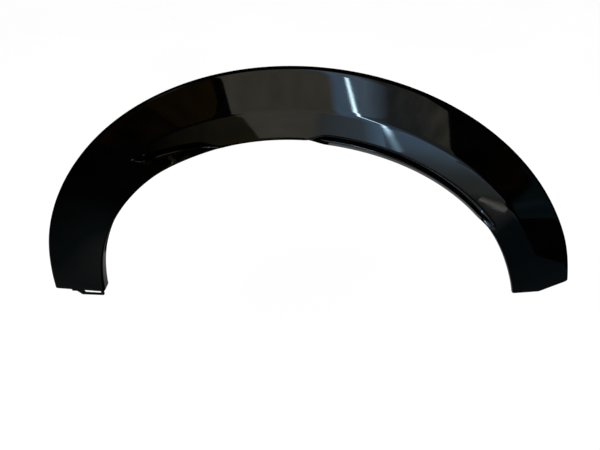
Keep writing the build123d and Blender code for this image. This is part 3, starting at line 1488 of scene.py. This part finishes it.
LOWER_CARDS: tuple[ReflectionCard, ...] = (
    ReflectionCard(
        "panel_low",
        on_floor((-0.50, -2.6), (-0.14, -2.6), (-0.14, -4.0), (-1.2, -4.0), layer=3),
        PANEL_LOW, PANEL_LOW, clouds=0.1,
    ),
    ReflectionCard(
        "panel_edge_low",
        on_floor((-0.14, -2.4), (-0.14, -4.0), (-0.03, -4.0), (-0.03, -2.4), layer=3),
        PANEL_LOW, PANEL_EDGE,
    ),
    ReflectionCard(
        "glow_edge_low",
        on_floor((-0.03, -2.4), (-0.03, -4.0), (0.34, -4.0), (0.34, -2.4), layer=3),
        PANEL_EDGE, GLOW_PALE,
    ),
    ReflectionCard(
        "glow_rise_low",
        on_floor((0.34, -2.4), (0.34, -4.0), (0.50, -4.0), (0.50, -2.4), layer=3),
        GLOW_PALE, GLOW_LOW,
    ),
    ReflectionCard(
        "tube_low",
        on_floor((0.495, -3.0), (0.515, -2.7), (0.605, -2.7), (0.585, -3.0), layer=4),
        GLOW_DIM, TUBE_CREASE, fade=Fade.MIDDLE, tail=TUBE_LOW,
    ),
    ReflectionCard(
        "tube_end",
        on_floor((0.515, -2.7), (0.54, -2.36), (0.63, -2.36), (0.605, -2.7), layer=4),
        GLOW_DIM, TUBE_LOW, fade=Fade.MIDDLE, tail=TUBE_END,
    ),
    ReflectionCard(
        "gleam",
        on_floor((0.928, -1.385), (1.08, -1.125), (1.062, -1.112), (0.895, -1.378), layer=3),
        GLEAM_EDGE, GLEAM,
    ),
    ReflectionCard(
        "slate_low",
        on_floor((0.6, -4.0), (0.95, -1.7), (1.9, -2.2), (2.4, -4.0), layer=1),
        SLATE, SLATE,
    ),
    ReflectionCard(
        "brown_low",
        on_floor((-2.6, -3.2), (-2.6, -2.75), (-0.02, -1.9), (-1.0, -3.95), layer=1),
        BLACK, BROWN_PALE, clouds=0.2,
    ),
    ReflectionCard(
        "lip_card",
        on_floor((-0.30, -2.4), (-0.30, -0.6), (0.02, -0.6), (0.02, -2.4), layer=2),
        BLACK, LIP,
    ),
    ReflectionCard(
        "teal_low",
        on_floor((1.85, -1.20), (2.15, -0.85), (3.5, -1.85), (3.15, -2.23), layer=1),
        TEAL_DARK, TEAL, clouds=0.2, fade=Fade.MIDDLE,
    ),
    ReflectionCard(
        "teal_far",
        on_floor((3.15, -2.23), (3.5, -1.85), (7.0, -4.0), (5.38, -4.0), layer=1),
        TEAL_DARK, TEAL_DARK, clouds=0.2,
    ),
    ReflectionCard(
        "teal_wall",
        on_wall((5.38, -0.36), (7.0, -0.36), (6.4, 0.5), (5.3, 0.5)),
        TEAL_DARK, TEAL_DARK, clouds=0.2,
    ),
    ReflectionCard(
        "bumper_leg_top",
        on_floor((0.72, -1.70), (1.17, -0.99), (1.154, -0.924), (0.674, -1.491), layer=1),
        LEG_TOP, LEG_UPPER,
    ),
    ReflectionCard(
        "bumper_leg_upper",
        on_floor((0.674, -1.491), (1.154, -0.924), (1.178, -0.68), (0.568, -1.40), layer=1),
        LEG_UPPER, LEG_MIDDLE,
    ),
    ReflectionCard(
        "bumper_leg_end",
        on_floor((0.568, -1.40), (1.178, -0.68), (1.22, -0.35), (0.45, -0.25), layer=1),
        LEG_MIDDLE, LEG_END,
    ),
    ReflectionCard(
        "sill_leg_end",
        on_floor((-0.5, -0.2), (-1.3, -0.2), (-1.4, -0.46), (-0.55, -0.46), layer=1),
        SILL_LEG, SILL_LEG_UPPER,
    ),
    ReflectionCard(
        "sill_leg_top",
        on_floor((-0.55, -0.46), (-1.4, -0.46), (-1.7, -1.0), (-0.9, -1.0), layer=1),
        SILL_LEG_UPPER, BLACK,
    ),
    ReflectionCard(
        "rear_mat", on_floor((-0.45, 0.2), (0.45, 0.2), (0.45, 9.0), (-0.45, 9.0)), DIM, DIM
    ),
    ReflectionCard(
        "front_mat", on_floor((-9.0, -9.0), (9.0, -9.0), (9.0, -0.6), (-9.0, -0.6)), BLACK, BLACK
    ),
    ReflectionCard(
        "inner_mat", on_floor((-9.0, -0.6), (-0.02, -0.6), (-0.02, 0.2), (-9.0, 0.2)), BLACK, BLACK
    ),
    ReflectionCard(
        "sill_mat", on_floor((-9.0, 0.2), (-0.45, 0.2), (-0.45, 9.0), (-9.0, 9.0)), BLACK, BLACK
    ),
    ReflectionCard(
        "bumper_mat", on_floor((0.45, -0.6), (9.0, -0.6), (9.0, 9.0), (0.45, 9.0)), BLACK, BLACK
    ),
)

LAMPS: tuple[SoftLamp, ...] = (
    SoftLamp("soft_lamp_left", (-1.6, -1.2, 3.0), (20.0, -25.0, 0.0), size=2.4, power=8.0),
    SoftLamp("soft_lamp_right", (1.6, -1.2, 3.0), (20.0, 25.0, 0.0), size=2.4, power=8.0),
)


@dataclass
class Studio:
    """Floor, soft lamps and the dark room with its cards."""

    room_radius: float = 9.5
    room_segments: int = 32
    room_rings: int = 16
    falling_light: float = 0.9

    def build(self) -> None:
        """Set up all of it."""
        PaleFloor().build()
        self.world()
        self.room()
        for lamp in LAMPS:
            lamp.build()
        cards = [*UPPER_CARDS, *HazeStrips().cards(), *LOWER_CARDS]
        for card in cards:
            card.build()
        LOG.info("studio: %d cards", len(cards))

    def world(self) -> None:
        """Make the world white to look at and a little dimmer as light."""
        world = bpy.data.worlds.new("studio_world")
        bpy.context.scene.world = world
        world.use_nodes = True
        bench = NodeBench(world.node_tree)
        background = world.node_tree.nodes["Background"]
        background.inputs["Color"].default_value = (1.0, 1.0, 1.0, 1.0)
        level = bench.add("ShaderNodeMapRange")
        level.inputs["To Min"].default_value = self.falling_light
        level.inputs["To Max"].default_value = 1.0
        bench.link(bench.seen(), level.inputs["Value"])
        bench.link(level.outputs["Result"], background.inputs["Strength"])

    def room(self) -> None:
        """Put a dark room round the trim, which the gloss mirrors between the cards."""
        deselect_all()
        bpy.ops.mesh.primitive_uv_sphere_add(
            segments=self.room_segments,
            ring_count=self.room_rings,
            radius=self.room_radius,
        )
        room = named("dark_room")
        material, _, shader = new_material("dark_room")
        shader.inputs["Base Color"].default_value = (0.0, 0.0, 0.0, 1.0)
        shader.inputs["Specular IOR Level"].default_value = 0.0
        room.data.materials.append(material)
        only_in_gloss(room)


@dataclass(frozen=True)
class PhotoCamera:
    """Camera at the photo's viewpoint, in metres, degrees and millimetres."""

    place: Place = (0.06654, -0.85148, 0.86181)
    pitch: float = 37.58
    yaw: float = 4.68
    lens: float = 36.0
    sensor: float = 36.0

    def build(self) -> None:
        """Add the camera and make it the scene's own."""
        deselect_all()
        turn = (math.radians(90.0 - self.pitch), 0.0, math.radians(self.yaw))
        bpy.ops.object.camera_add(location=self.place, rotation=turn)
        camera = bpy.context.object
        camera.name = "photo_camera"
        camera.data.lens = self.lens
        camera.data.sensor_width = self.sensor
        bpy.context.scene.camera = camera


def main() -> None:
    """Build the trim and its studio, and report each piece."""
    logging.basicConfig(level=logging.INFO, format="%(message)s")
    bpy.context.scene.view_settings.view_transform = "Standard"
    section = Section()
    ends = LegEnds(section)
    shell = ArchShell(section, ends).build()
    combine(shell, Backing(section, ends).build(), Cut.UNION)
    combine(shell, SlottedTab().build(), Cut.UNION)
    mend_pinches(shell)
    shell.data.materials.append(GlossBlack().material())
    shell.data.materials.append(SatinBlack().material())
    activate(shell)
    bpy.ops.object.shade_smooth_by_angle(angle=math.radians(SMOOTH_ANGLE))
    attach(shell, "root")
    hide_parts("wheel_arch_trim")
    LOG.info("%s: %d faces", shell.name, len(shell.data.polygons))
    Studio().build()
    PhotoCamera().build()


if __name__ == "__main__":
    main()
